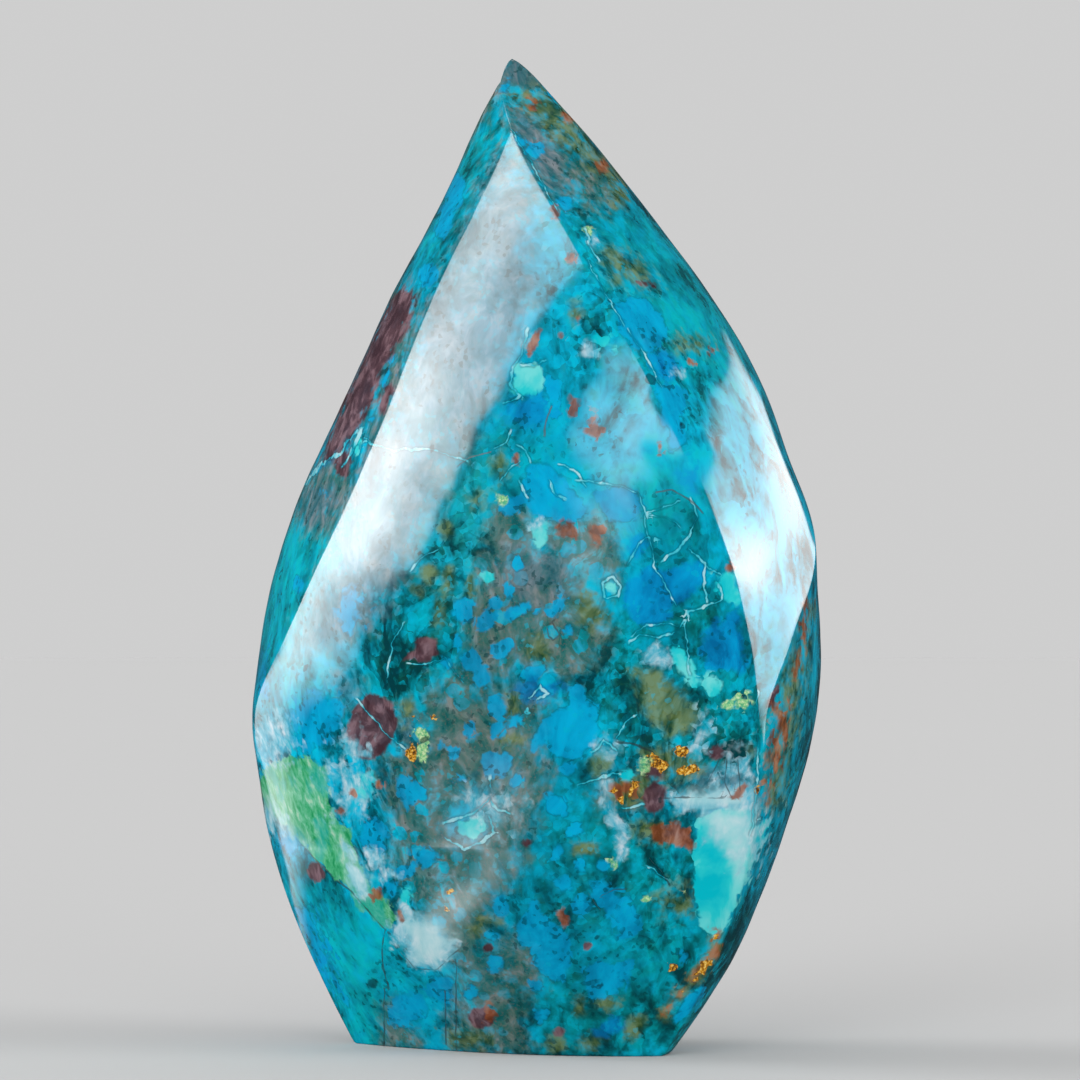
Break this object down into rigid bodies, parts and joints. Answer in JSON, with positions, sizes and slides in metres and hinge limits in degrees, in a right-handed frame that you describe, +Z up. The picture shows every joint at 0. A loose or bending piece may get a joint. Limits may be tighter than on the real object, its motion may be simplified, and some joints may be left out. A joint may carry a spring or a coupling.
{
  "type": "polished chrysocolla flame",
  "caption": "Polished blue-green chrysocolla carved as a flame: one freestanding stone with ground ridges, bulged faces and a flat sawn base.",
  "frame": {"origin": "middle of the stone's width and depth, on the plane of its sawn base", "axes": "+Z up to the tip, -Y towards the broad front face, +X towards the stone's right as it is seen from the front"},
  "size_m": [0.0868, 0.06, 0.1504],
  "materials": {
    "chrysocolla": "high polish, mottled sky blue, teal, green and brown"
  },
  "bodies": {
    "root": {"chrysocolla_flame": "chrysocolla"}
  },
  "joints": []
}
